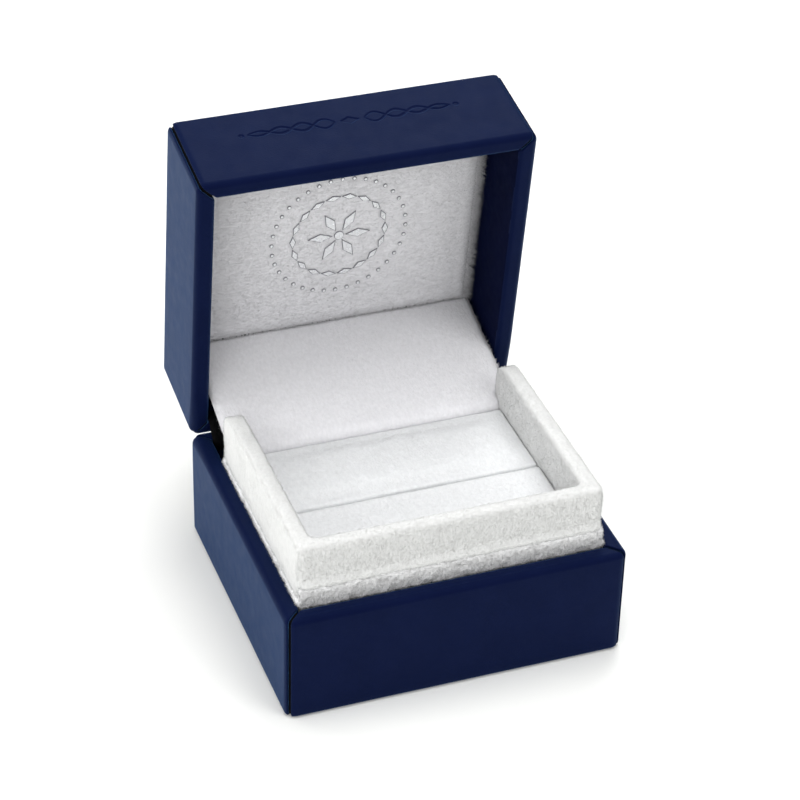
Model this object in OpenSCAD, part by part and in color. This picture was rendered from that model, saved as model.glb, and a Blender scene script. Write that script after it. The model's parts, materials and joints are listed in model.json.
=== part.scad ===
// Hinged jewelry gift box, standing with its lid open.
// Origin: middle of the underside. +X is to the right, +Y towards the hinge, +Z up.

/* [Box] */
// Width of the box, left to right
box_w = 60; // [56:1:70]
// Depth of the box, front to back
box_d = 56; // [55:1:60]
// Height of the base, from the table to its rim
base_h = 20.5; // [19:0.5:24]
// Height of the lid, from its rim to its top
lid_h = 18.5; // [18:0.5:22]
// Angle at which the lid stands open
lid_open = 82; // [70:1:84]
// Gap between the two rims when the box is shut
rim_gap = 0.4; // [0.3:0.1:0.5]

/* [Walls] */
// Thickness of the board
board_t = 2.2; // [2:0.1:2.2]
// Thickness of the leatherette
skin_t = 0.5; // [0.4:0.1:0.5]
// Radius of the upright corners
corner_r = 1.8; // [1.8:0.1:2.2]
// Radius of the outer edge of each rim
rim_r = 1.7; // [1.6:0.1:1.8]
// Radius of the inner edge of each rim
rim_inner_r = 0.8; // [0.6:0.1:1]
// Radius of the edges round the underside and round the lid's top
edge_r = 0.8; // [0.6:0.1:1]
// Width of the open seams at the corners
seam_w = 0.55; // [0.3:0.05:0.6]
// How far the leatherette turns down inside the base
base_turn_in = 6; // [4:0.5:8]

/* [Ring tray] */
// Width of the plush collar, outside
collar_w = 52.8; // [52:0.1:52.8]
// Distance from the front of the box to the front of the collar
collar_setback = 4.4; // [4.4:0.1:5.2]
// Length of the collar's side walls, front to back
collar_d = 42.2; // [38:0.2:42.4]
// How far the collar stands above the rim
collar_rise = 11; // [10:0.25:11]
// Thickness of the collar's walls
collar_t = 2.8; // [2.8:0.1:3.2]
// Height of the front ring cushion above the rim
front_seat_rise = 3.7; // [3:0.1:4]
// Height of the rear ring cushion above the rim
rear_seat_rise = 3.3; // [3:0.1:4]
// Width of the ring slot between the cushions
slot_w = 0.3; // [0.2:0.1:0.8]
// Thickness of the plush over card and foam
plush_t = 1; // [0.8:0.1:1.1]

/* [Lid lining] */
// Depth of the lined ceiling, front to back
ceiling_d = 42.9; // [42:0.1:43]
// Thickness of the padded lining
ceiling_t = 2.3; // [2:0.1:2.3]
// Reach of the foil ornament from its centre
motif_r = 13.3; // [11:0.1:14]

/* [Hinge] */
// Width of the hinge
hinge_w = 36; // [30:1:40]
// Distance from the back of the box to the hinge axis
hinge_inset = 1.15; // [1.1:0.05:1.15]
// Radius of the hinge pin
pin_r = 0.4; // [0.35:0.05:0.4]
// Radius of the knuckles
knuckle_r = 0.8; // [0.75:0.05:0.8]
// Running clearance between the pin and the lid's knuckles
pin_play = 0.05; // [0.03:0.01:0.08]
// Thickness of the hinge's sheet steel
leaf_t = 0.4; // [0.3:0.05:0.4]

/* [Hidden] */
$fn = 64;

navy = [0.09, 0.13, 0.30];
plush_white = [0.93, 0.93, 0.93];
board_black = [0.09, 0.09, 0.10];
foam_cream = [0.90, 0.88, 0.83];
steel = [0.70, 0.71, 0.73];
foil_silver = [0.85, 0.86, 0.88];

wall_t = board_t + 2 * skin_t;       // board with leatherette on both faces
over = 1;                            // how far a cutting shape runs past what it cuts
nick = 0.1;                          // the same, where there is little room
panel_lift = 0.1;                    // turned-under edges stay this far above the panel's face
floor_z = panel_lift + skin_t + board_t;
axis_y = box_d / 2 - hinge_inset;
axis_z = base_h + rim_gap / 2;
shut_h = base_h + rim_gap + lid_h;

// Ring tray
collar_front_y = collar_setback - box_d / 2;
collar_rear_y = collar_front_y + collar_d;
collar_top = base_h + collar_rise;
collar_edge_r = 1.2;                 // soft top edges
collar_rear_r = 5;                   // rounded-off top of the rear ends
core_inset = 0.7;                    // plush on each face of the collar's card
roll_w = 53.3;
roll_front_y = collar_front_y - 1;
roll_bottom = base_h - 0.9;
roll_top = base_h + 3.1;
tray_w = collar_w - 2 * collar_t;
tray_front_y = collar_front_y + collar_t;
seat_play = 0.3;                     // beside each end of the cushions
seat_w = tray_w - 2 * seat_play;
seat_board_t = 1;
seat_front_y = tray_front_y + 0.25;
seat_back_y = 14.8;
slot_y = -3.35;
seat_z = floor_z + seat_board_t;
seat_edge_r = 1.5;

// Flap over the hinge
flap_t = 1.2;
flap_y = 15;                         // front face of its upright foot
flap_bend_r = 1.6;                   // radius of the bend, at the middle of the cloth
flap_bend_rise = 1.75;               // middle of the bend above the rim
flap_slope = 17;                     // of the stretch from the bend to the lid's lining
flap_end_y = 38.2;
flap_w = 52.4;                       // narrower between the collar's walls
collar_play = 0.3;                   // behind those walls

// Lid lining, measured down from the lid's top
lid_floor = floor_z;
ceiling_board_t = 0.6;
ceiling_play = 0.3;                  // beside each end of the lining
ceiling_w = box_w - 2 * wall_t - 2 * ceiling_play;
ceiling_front_y = wall_t + 0.2 - box_d / 2;
motif_y = -2;
foil_t = 0.12;

// Hinge, drawn for the base and mirrored about the axis for the lid
notch_depth = 2 * leaf_t;            // the back rim is lowered by this under the leaves
strip_z = base_h - notch_depth;
knuckle_pitch = hinge_w / 5;
knuckle_gap = 0.25;
back_inner_y = box_d / 2 - wall_t;
leg_w = hinge_w - 4;
leg_bottom = base_h - 8.3;
rivet_x = 10;
rivet_z = base_h - 4.8;
rivet_r = 0.5;
rivet_head_r = 1.1;
rivet_head_t = 0.35;
rivet_reach = 1.8;                   // from the leaf's far face into the wall
spring_w = 8;
spring_t = 0.3;
spring_bend_r = 4.8;

// Debossed flourish on the lid's front
flourish_drop = 7;                   // its middle, down from the lid's top
flourish_depth = 0.15;
flourish_half = 18;
flourish_waves = 4;
flourish_steps = 40;

// Quarter of a disc, above the x axis and to the left (side = -1) or right (side = 1) of y
module quarter_disc(r, side) {
    intersection() {
        circle(r = r);
        translate([side < 0 ? -r : 0, 0]) square(r);
    }
}

// Upright bar from x = 0 to w and from y = y0 to y1, with its two top corners rounded
module bar(w, y0, y1, r_left, r_right) {
    translate([0, y0]) square([w, y1 - r_left - y0]);
    translate([r_left, y0]) square([w - r_left, y1 - r_right - y0]);
    translate([r_left, y0]) square([w - r_left - r_right, y1 - y0]);
    translate([r_left, y1 - r_left]) quarter_disc(r_left, -1);
    translate([w - r_right, y1 - r_right]) quarter_disc(r_right, 1);
}

// Section of the board in a wall of height h; x runs inwards from the outer face
module board_section(h) {
    translate([skin_t, 0])
        bar(board_t, panel_lift + skin_t, h - skin_t, rim_r - skin_t, rim_inner_r - skin_t);
}

// Section of the leatherette round that board, with a turned-under edge and an inner leg
module skin_section(h, turn_in) {
    difference() {
        union() {
            bar(wall_t, panel_lift + edge_r, h, rim_r, rim_inner_r);
            translate([edge_r, panel_lift]) square([wall_t - edge_r, 2 * edge_r]);
            translate([edge_r, panel_lift + edge_r]) mirror([0, 1]) quarter_disc(edge_r, -1);
        }
        board_section(h);
        translate([wall_t - skin_t - nick, 0])
            square([skin_t + 1.5 * nick, h - turn_in]);
    }
}

// Sweeps a section along one wall, as the front wall of a box run wide and 2 * half deep
module straight_wall(run, half) {
    translate([0, -half, 0]) rotate([90, 0, 90])
        linear_extrude(height = run - 2 * corner_r, center = true) children();
}

// Turns the outer part of a section round the upright corner at that wall's right-hand end
module corner_turn(run, half) {
    translate([run / 2 - corner_r, corner_r - half, 0]) rotate([0, 0, -90])
        rotate_extrude(angle = 90) intersection() {
            translate([corner_r, 0]) mirror([1, 0]) children();
            square([corner_r, shut_h]);
        }
}

// All four walls and corners
module wall_ring() {
    for (turn = [0 : 3]) {
        run = turn % 2 == 0 ? box_w : box_d;
        half = (turn % 2 == 0 ? box_d : box_w) / 2;
        rotate([0, 0, 90 * turn]) {
            straight_wall(run, half) children();
            corner_turn(run, half) children();
        }
    }
}

// One wall's panel, out to the open seams at the middle of its two corners
module panel(run, half) {
    outer = run / 2 + over - seam_w / sqrt(2);
    depth = wall_t + 2 * over;
    intersection() {
        union() {
            straight_wall(run, half) children();
            for (side = [0, 1]) mirror([side, 0, 0]) corner_turn(run, half) children();
        }
        translate([0, -half - over, -over]) linear_extrude(height = shut_h)
            polygon([[-outer, 0], [outer, 0], [outer - depth, depth], [depth - outer, depth]]);
    }
}

// Sheet that covers the middle of a closed face, inside the turned-under edges
module cover_sheet() {
    r = 1;
    margin = wall_t + 0.1;
    w = box_w - 2 * margin;
    d = box_d - 2 * margin;
    linear_extrude(height = panel_lift + skin_t) {
        square([w - 2 * r, d], center = true);
        square([w, d - 2 * r], center = true);
        for (x = [-1, 1], y = [-1, 1])
            translate([x * (w / 2 - r), y * (d / 2 - r)]) circle(r = r);
    }
}

// Room for the hinge in the back wall of a half of height h
module hinge_notch(h) {
    end_play = 0.7;
    translate([-hinge_w / 2 - end_play, back_inner_y - nick, h - notch_depth])
        cube([hinge_w + 2 * end_play, wall_t + over, notch_depth + over]);
}

// Holes for the rivets in the back wall of a half of height h
module rivet_holes(h) {
    for (side = [-1, 1])
        translate([side * rivet_x, back_inner_y - nick, h - (base_h - rivet_z)])
            rotate([-90, 0, 0]) cylinder(r = rivet_r, h = rivet_reach + nick);
}

// Board tray of height h: walls, floor and the cut-outs for the hinge
module shell(h) {
    inset = skin_t + 1;
    difference() {
        union() {
            wall_ring() board_section(h);
            translate([inset - box_w / 2, inset - box_d / 2, panel_lift + skin_t])
                cube([box_w - 2 * inset, box_d - 2 * inset, board_t]);
        }
        hinge_notch(h);
        rivet_holes(h);
    }
}

module side_panel(h, turn_in) {
    panel(box_d, box_w / 2) skin_section(h, turn_in);
}

module front_panel(h, turn_in) {
    panel(box_w, box_d / 2) skin_section(h, turn_in);
}

module back_panel(h, turn_in) {
    difference() {
        rotate([0, 0, 180]) front_panel(h, turn_in);
        hinge_notch(h);
        rivet_holes(h);
    }
}

// Places a half drawn standing on its closed face as the shut lid, then swings it open
module as_lid() {
    swing() translate([0, 0, shut_h]) mirror([0, 0, 1]) children();
}

module swing() {
    translate([0, axis_y, axis_z]) rotate([-lid_open, 0, 0]) translate([0, -axis_y, -axis_z])
        children();
}

// Mirrors the base's half of the hinge to the lid
module lid_half_of_hinge() {
    swing() translate([0, 0, axis_z]) mirror([0, 0, 1]) translate([0, 0, -axis_z]) children();
}

// ---- Base ----

module base_shell() {
    color(board_black) shell(base_h);
}

module base_front_wrap() {
    color(navy) front_panel(base_h, base_turn_in);
}

module base_back_wrap() {
    color(navy) back_panel(base_h, base_turn_in);
}

module base_left_wrap() {
    color(navy) rotate([0, 0, -90]) side_panel(base_h, base_turn_in);
}

module base_right_wrap() {
    color(navy) rotate([0, 0, 90]) side_panel(base_h, base_turn_in);
}

module base_bottom_wrap() {
    color(navy) cover_sheet();
}

// Three-sided frame, w wide outside with walls t thick, from the front face back to rear_y
module three_sides(w, front_y, rear_y, t, z0, z1) {
    difference() {
        translate([-w / 2, front_y, z0]) cube([w, rear_y - front_y, z1 - z0]);
        translate([t - w / 2, front_y + t, z0 - over])
            cube([w - 2 * t, rear_y - front_y, z1 - z0 + 2 * over]);
    }
}

module collar_board() {
    color(board_black)
        three_sides(collar_w - 2 * core_inset, collar_front_y + core_inset,
            collar_rear_y - collar_rear_r, collar_t - 2 * core_inset, floor_z, collar_top - 1);
}

module collar_plush() {
    h = collar_top - floor_z;
    color(plush_white) difference() {
        intersection() {
            three_sides(collar_w, collar_front_y, collar_rear_y, collar_t, floor_z, collar_top);
            translate([-box_w / 2, collar_front_y, floor_z]) rotate([90, 0, 90])
                linear_extrude(height = box_w)
                    bar(collar_d, 0, h, collar_edge_r, collar_rear_r);
            translate([-collar_w / 2, collar_rear_y + over, floor_z]) rotate([90, 0, 0])
                linear_extrude(height = collar_d + 2 * over)
                    bar(collar_w, 0, h, collar_edge_r, collar_edge_r);
            front_corner_prism();
        }
        collar_board();
    }
}

// Prism that rounds the collar's two upright front corners
module front_corner_prism() {
    translate([-collar_w / 2, collar_rear_y + over, 0]) mirror([0, 1, 0])
        linear_extrude(height = collar_top + over)
            bar(collar_w, 0, collar_d + over, collar_edge_r, collar_edge_r);
}

module rim_roll() {
    color(plush_white) difference() {
        translate([-roll_w / 2, roll_front_y, roll_bottom])
            cube([roll_w, collar_rear_y - 0.5 - roll_front_y, roll_top - roll_bottom]);
        translate([-collar_w / 2, collar_front_y, roll_bottom - over])
            cube([collar_w, collar_d + over, roll_top]);
    }
}

module seat_board() {
    color(board_black) translate([-seat_w / 2, seat_front_y, floor_z])
        cube([seat_w, seat_back_y - seat_front_y, seat_board_t]);
}

// Foam block from y0 to y1 with its top at z1, w wide, and its top edges rounded
module cushion_block(w, y0, y1, z1, edge) {
    translate([-w / 2, y0, seat_z]) rotate([90, 0, 90]) linear_extrude(height = w)
        bar(y1 - y0, 0, z1 - seat_z, edge, edge);
}

module cushion_foam(y0, y1, z1) {
    cushion_block(seat_w - 2 * plush_t, y0 + plush_t, y1 - plush_t, z1 - plush_t,
        seat_edge_r - plush_t);
}

module cushion_cover(y0, y1, z1) {
    difference() {
        cushion_block(seat_w, y0, y1, z1, seat_edge_r);
        cushion_foam(y0, y1, z1);
    }
}

module seat_front_foam() {
    color(foam_cream) cushion_foam(seat_front_y, slot_y - slot_w / 2, base_h + front_seat_rise);
}

module seat_front_cover() {
    color(plush_white)
        cushion_cover(seat_front_y, slot_y - slot_w / 2, base_h + front_seat_rise);
}

module seat_rear_foam() {
    color(foam_cream) cushion_foam(slot_y + slot_w / 2, seat_back_y, base_h + rear_seat_rise);
}

module seat_rear_cover() {
    color(plush_white)
        cushion_cover(slot_y + slot_w / 2, seat_back_y, base_h + rear_seat_rise);
}

// ---- Hinge ----

// Knuckles in the given places along the hinge, each on a tongue from the strip
module knuckles(places) {
    for (place = places) {
        x0 = (place - 2.5) * knuckle_pitch + knuckle_gap / 2;
        translate([x0, axis_y, axis_z]) rotate([0, 90, 0])
            cylinder(r = knuckle_r, h = knuckle_pitch - knuckle_gap);
        translate([x0, back_inner_y + 0.8, strip_z])
            cube([knuckle_pitch - knuckle_gap, axis_y - back_inner_y - 0.8, leaf_t]);
    }
}

// Leaf with a strip over the rim, a leg down the inner face, and knuckles
module leaf(places, bore_r) {
    difference() {
        union() {
            knuckles(places);
            translate([-hinge_w / 2, back_inner_y - leaf_t, strip_z])
                cube([hinge_w, leaf_t + 1, leaf_t]);
            translate([-leg_w / 2, back_inner_y - leaf_t, leg_bottom])
                cube([leg_w, leaf_t, strip_z + leaf_t - leg_bottom]);
        }
        translate([-hinge_w / 2 - over, axis_y, axis_z]) rotate([0, 90, 0])
            cylinder(r = bore_r, h = hinge_w + 2 * over);
        for (side = [-1, 1])
            translate([side * rivet_x, back_inner_y - leaf_t - over, rivet_z])
                rotate([-90, 0, 0]) cylinder(r = rivet_r, h = leaf_t + 2 * over);
    }
}

module rivets() {
    for (side = [-1, 1])
        translate([side * rivet_x, back_inner_y - leaf_t, rivet_z]) rotate([-90, 0, 0]) {
            cylinder(r = rivet_r, h = leaf_t + rivet_reach);
            translate([0, 0, -rivet_head_t]) cylinder(r = rivet_head_r, h = rivet_head_t);
        }
}

module hinge_base_leaf() {
    color(steel) leaf([0, 2, 4], pin_r);
}

module hinge_base_rivets() {
    color(steel) rivets();
}

module hinge_lid_leaf() {
    color(steel) lid_half_of_hinge() leaf([1, 3], pin_r + pin_play);
}

module hinge_lid_rivets() {
    color(steel) lid_half_of_hinge() rivets();
}

module hinge_pin() {
    head_t = 0.3;
    color(steel) translate([-hinge_w / 2, axis_y, axis_z]) rotate([0, 90, 0]) {
        cylinder(r = pin_r, h = hinge_w);
        translate([0, 0, hinge_w]) cylinder(r = pin_r + 0.2, h = head_t);
        translate([0, 0, -head_t]) cylinder(r = pin_r + 0.2, h = head_t);
    }
}

// Quarter of a ring in the corner where x < 0 and y > 0
module quarter_ring(r, t) {
    difference() {
        circle(r = r + t / 2);
        circle(r = r - t / 2);
        translate([-2 * r, -2 * r]) square([4 * r, 2 * r]);
        translate([0, -2 * r]) square([2 * r, 4 * r]);
    }
}

// Blade from the base's leaf, up and over the pin, to the lid's leaf
module hinge_spring() {
    blade_y = back_inner_y - 0.8;
    bend_z = axis_z - 1.5;
    foot = 0.5;
    reach = 2.6;
    color(steel) translate([-spring_w / 2, 0, 0]) rotate([90, 0, 90])
        linear_extrude(height = spring_w) {
            translate([blade_y - spring_t / 2, leg_bottom + 1.3])
                square([spring_t, bend_z - leg_bottom - 1.3]);
            translate([blade_y - spring_t / 2, leg_bottom + 0.8])
                square([back_inner_y - leaf_t - blade_y + spring_t / 2, foot]);
            translate([blade_y + spring_bend_r, bend_z]) quarter_ring(spring_bend_r, spring_t);
            translate([blade_y + spring_bend_r, bend_z + spring_bend_r - spring_t / 2])
                square([reach, spring_t]);
        }
}

// Plush apron from behind the rear cushion, over the hinge, to the lid's lining
module hinge_flap() {
    bend_y = flap_y + flap_t / 2 + flap_bend_r;
    bend_z = base_h + flap_bend_rise;
    reach = (flap_end_y - bend_y) / cos(flap_slope) + flap_bend_r * tan(flap_slope);
    far = 3 * flap_bend_r;
    color(plush_white) difference() {
        translate([-flap_w / 2, 0, 0]) rotate([90, 0, 90]) linear_extrude(height = flap_w) {
            translate([flap_y, floor_z]) square([flap_t, bend_z - floor_z]);
            translate([bend_y, bend_z]) {
                intersection() {
                    quarter_ring(flap_bend_r, flap_t);
                    polygon([[0, 0], [-far * sin(flap_slope), far * cos(flap_slope)], [-far, 0]]);
                }
                rotate(flap_slope) translate([0, flap_bend_r - flap_t / 2])
                    square([reach, flap_t]);
            }
        }
        for (side = [-1, 1])
            translate([side * (seat_w + flap_w) / 2 - flap_w / 2, flap_y - over, 0])
                cube([flap_w, collar_rear_y + collar_play - flap_y + over, collar_top + over]);
    }
}

// ---- Lid ----

module lid_shell() {
    color(board_black) as_lid() shell(lid_h);
}

// Half-height of the flourish's strands at a distance u from 0, its middle, to 1, its end
function swell(u) = 1.35 * (1 - 0.65 * u);
function strand(i) = let (u = i / flourish_steps)
    [2.6 + u * (flourish_half - 2.6), swell(u) * sin(180 * flourish_waves * u)];
function strand_half(i) = 0.09 + 0.2 * sin(180 * i / flourish_steps);

// One waving strand of the flourish, to the right of its middle
module flourish_strand() {
    polygon(concat(
        [for (i = [0 : flourish_steps]) strand(i) + [0, strand_half(i)]],
        [for (i = [flourish_steps : -1 : 0]) strand(i) - [0, strand_half(i)]]
    ));
}

// Two interlaced strands each side of a lozenge
module flourish() {
    polygon([[-1.7, 0], [0, 0.95], [1.7, 0], [0, -0.95]]);
    for (side = [0, 1]) mirror([side, 0]) {
        flourish_strand();
        mirror([0, 1]) flourish_strand();
        translate([flourish_half + 1.1, 0]) circle(r = 0.45);
    }
}

module lid_front_wrap() {
    color(navy) as_lid() difference() {
        front_panel(lid_h, lid_h - lid_floor);
        translate([0, flourish_depth - box_d / 2, flourish_drop]) rotate([90, 0, 0])
            linear_extrude(height = over) flourish();
    }
}

module lid_back_wrap() {
    color(navy) as_lid() back_panel(lid_h, lid_h - lid_floor);
}

module lid_left_wrap() {
    color(navy) as_lid() rotate([0, 0, -90]) side_panel(lid_h, lid_h - lid_floor);
}

module lid_right_wrap() {
    color(navy) as_lid() rotate([0, 0, 90]) side_panel(lid_h, lid_h - lid_floor);
}

module lid_top_wrap() {
    color(navy) as_lid() cover_sheet();
}

module ceiling_slab(z0, t) {
    as_lid() translate([-ceiling_w / 2, ceiling_front_y, z0]) cube([ceiling_w, ceiling_d, t]);
}

module ceiling_board() {
    color(board_black) ceiling_slab(lid_floor, ceiling_board_t);
}

module ceiling_pad() {
    color(plush_white) ceiling_slab(lid_floor + ceiling_board_t, ceiling_t);
}

module lozenge(l, w) {
    polygon([[-l / 2, 0], [0, w / 2], [l / 2, 0], [0, -w / 2]]);
}

// Plain rosette: six petals inside a ring of lozenges and a ring of dots
module rosette() {
    circle(r = 0.06 * motif_r);
    for (i = [0 : 5]) rotate(60 * i)
        translate([0.26 * motif_r, 0]) lozenge(0.3 * motif_r, 0.12 * motif_r);
    for (i = [0 : 17]) rotate(20 * i)
        translate([0.64 * motif_r, 0]) rotate(90) lozenge(0.17 * motif_r, 0.07 * motif_r);
    for (i = [0 : 35]) rotate(10 * i)
        translate([0.93 * motif_r, 0]) circle(r = 0.02 * motif_r);
}

module foil_motif() {
    color(foil_silver) as_lid()
        translate([0, motif_y, lid_floor + ceiling_board_t + ceiling_t])
            linear_extrude(height = foil_t) rosette();
}

base_shell();
base_front_wrap();
base_back_wrap();
base_left_wrap();
base_right_wrap();
base_bottom_wrap();
collar_board();
collar_plush();
rim_roll();
seat_board();
seat_front_foam();
seat_front_cover();
seat_rear_foam();
seat_rear_cover();
hinge_base_leaf();
hinge_base_rivets();
hinge_pin();
hinge_spring();
hinge_flap();
hinge_lid_leaf();
hinge_lid_rivets();
lid_shell();
lid_front_wrap();
lid_back_wrap();
lid_left_wrap();
lid_right_wrap();
lid_top_wrap();
ceiling_board();
ceiling_pad();
foil_motif();
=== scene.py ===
"""Hinged jewelry gift box: its looks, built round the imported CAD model."""
import bmesh
import bpy
import json
import math
import numpy as np
from mathutils import Matrix, Vector, noise

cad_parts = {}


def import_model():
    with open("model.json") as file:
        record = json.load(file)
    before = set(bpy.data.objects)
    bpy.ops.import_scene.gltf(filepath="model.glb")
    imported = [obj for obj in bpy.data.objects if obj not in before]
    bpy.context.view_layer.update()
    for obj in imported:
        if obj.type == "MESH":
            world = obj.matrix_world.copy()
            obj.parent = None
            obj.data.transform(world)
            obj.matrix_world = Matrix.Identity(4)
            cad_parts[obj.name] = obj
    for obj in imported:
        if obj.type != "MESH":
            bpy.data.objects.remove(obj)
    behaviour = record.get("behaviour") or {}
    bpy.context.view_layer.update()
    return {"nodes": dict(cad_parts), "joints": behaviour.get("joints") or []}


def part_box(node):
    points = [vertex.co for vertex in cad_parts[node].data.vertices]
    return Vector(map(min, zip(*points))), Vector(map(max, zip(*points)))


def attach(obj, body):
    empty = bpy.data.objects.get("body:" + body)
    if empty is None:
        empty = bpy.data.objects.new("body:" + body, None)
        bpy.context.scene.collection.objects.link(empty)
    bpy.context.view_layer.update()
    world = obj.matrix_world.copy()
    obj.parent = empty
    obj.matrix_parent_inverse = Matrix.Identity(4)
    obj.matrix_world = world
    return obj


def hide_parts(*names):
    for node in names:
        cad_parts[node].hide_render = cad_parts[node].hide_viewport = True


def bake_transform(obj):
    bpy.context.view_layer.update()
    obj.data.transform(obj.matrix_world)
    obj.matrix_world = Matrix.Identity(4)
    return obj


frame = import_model()

MM = 0.001                     # the shapes below are worked out in millimetres
WORK_SCALE = 25                # remeshing and cloth run on shapes this many times larger

# Sizes that the frame's boxes don't give, in millimetres
CORNER_R = 1.8                 # upright corners
RIM_R = 1.7                    # outer edge of each rim at the hinge
RIM_FRONT_R = 1.1              # and at the front
RIM_INNER_R = 0.8              # inner edge of each rim
EDGE_R = 0.8                   # edges of the closed faces
SEAM_W = 0.62                  # open seams at the corners
SEAM_EDGE_R = 0.18             # rounded edge of the leatherette along a seam
BASE_TURN_IN = 6               # leatherette turned down inside the base
COLLAR_T = 2.8                 # thickness of the collar's walls, plush included
COLLAR_REAR_R = 5              # rounding of the collar's upper rear corners
NOTCH_DEPTH = 0.8              # room for the hinge in the back walls' rims
NOTCH_W = 37.4

HINGE = frame["joints"][0]
AXIS = np.array(HINGE["pos_m"], float) / MM
OPEN = math.radians(HINGE["range_deg"][1])


# ---- Places ----

def turned(points, angle):
    """Points turned about the hinge axis. A positive angle shuts the lid."""
    c, s = math.cos(angle), math.sin(angle)
    p = np.array(points, float) - AXIS
    y = p[:, 1] * c - p[:, 2] * s
    z = p[:, 1] * s + p[:, 2] * c
    return np.stack([p[:, 0], y, z], 1) + AXIS


def opened(points):
    return turned(points, -OPEN)


def shut_box(node):
    """Lowest and highest corner, in mm, of a node of the lid when the lid is shut."""
    co = np.array([v.co for v in frame["nodes"][node].data.vertices], float) / MM
    p = turned(co, OPEN)
    return p.min(0), p.max(0)


def box(node):
    """Lowest and highest corner, in mm, of a node at rest."""
    low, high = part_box(node)
    return np.array(low) / MM, np.array(high) / MM


HALF_W = box("base_right_wrap")[1][0]
HALF_D = box("base_back_wrap")[1][1]
BASE_H = box("base_front_wrap")[1][2]
PANEL_LIFT = box("base_front_wrap")[0][2]
WALL_T = box("base_front_wrap")[1][1] + HALF_D
SKIN_T = box("base_shell")[0][0] + HALF_W
LID_RIM = shut_box("lid_front_wrap")[0][2]
SHUT_H = shut_box("lid_top_wrap")[1][2]
LID_H = SHUT_H - LID_RIM
PAD_LOW, PAD_HIGH = shut_box("ceiling_pad")
PAD_FACE = PAD_LOW[2]


def as_base(points):
    return points


def as_lid(points):
    """From a half that stands on its closed face to the open lid."""
    p = np.array(points, float)
    p[:, 2] = SHUT_H - p[:, 2]
    return opened(p)


# ---- Meshes ----

def make_mesh(name, points, faces):
    """Object from points in mm, with its normals outwards."""
    mesh = bpy.data.meshes.new(name)
    mesh.from_pydata((np.asarray(points, float) * MM).tolist(), [], [tuple(f) for f in faces])
    bm = bmesh.new()
    bm.from_mesh(mesh)
    bmesh.ops.recalc_face_normals(bm, faces=bm.faces)
    bm.to_mesh(mesh)
    bm.free()
    mesh.shade_smooth()
    o = bpy.data.objects.new(name, mesh)
    bpy.context.scene.collection.objects.link(o)
    return o


def points_of(mesh):
    co = np.zeros(len(mesh.vertices) * 3)
    mesh.vertices.foreach_get("co", co)
    return co.reshape(-1, 3)


def normals_of(mesh):
    n = np.zeros(len(mesh.vertices) * 3)
    mesh.vertices.foreach_get("normal", n)
    return n.reshape(-1, 3)


def move_points(mesh, co):
    mesh.vertices.foreach_set("co", np.asarray(co, float).ravel())
    mesh.update()


def apply_modifiers(o):
    """Puts what the modifiers make into the object's own mesh."""
    graph = bpy.context.evaluated_depsgraph_get()
    mesh = bpy.data.meshes.new_from_object(o.evaluated_get(graph))
    o.modifiers.clear()
    old, o.data = o.data, mesh
    mesh.name = o.name
    bpy.data.meshes.remove(old)
    mesh.shade_smooth()


def subdivided(o):
    m = o.modifiers.new("smooth", "SUBSURF")
    m.levels = m.render_levels = 1
    apply_modifiers(o)


def eased(t):
    """From 0 to 1 with soft ends, as t goes from 0 to 1."""
    t = np.clip(t, 0, 1)
    return t * t * (3 - 2 * t)


def noise_at(points, size, seed):
    """Smooth noise from about -1 to 1 at points in mm, with lumps of the given size."""
    p = np.asarray(points) / size + seed * 7.31
    return np.array([noise.noise(Vector(q)) for q in p.tolist()])


def relaxed(mesh, steps, factor=0.5):
    """Smooths a mesh by moving each vertex towards the middle of its neighbours."""
    edges = np.zeros(len(mesh.edges) * 2, int)
    mesh.edges.foreach_get("vertices", edges)
    a, b = edges.reshape(-1, 2).T
    co = points_of(mesh)
    count = np.bincount(np.concatenate([a, b]), minlength=len(co))[:, None]
    for _ in range(steps):
        total = np.zeros_like(co)
        np.add.at(total, a, co[b])
        np.add.at(total, b, co[a])
        co += factor * (total / count - co)
    move_points(mesh, co)


def finished(o, body, slot, material, *nodes):
    """Gives a piece its material, the CAD nodes it stands for, and its body."""
    o.data.materials.clear()
    o.data.materials.append(material)
    if nodes:
        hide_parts(*nodes)
    if body:
        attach(o, body)


# ---- Materials ----

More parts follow.
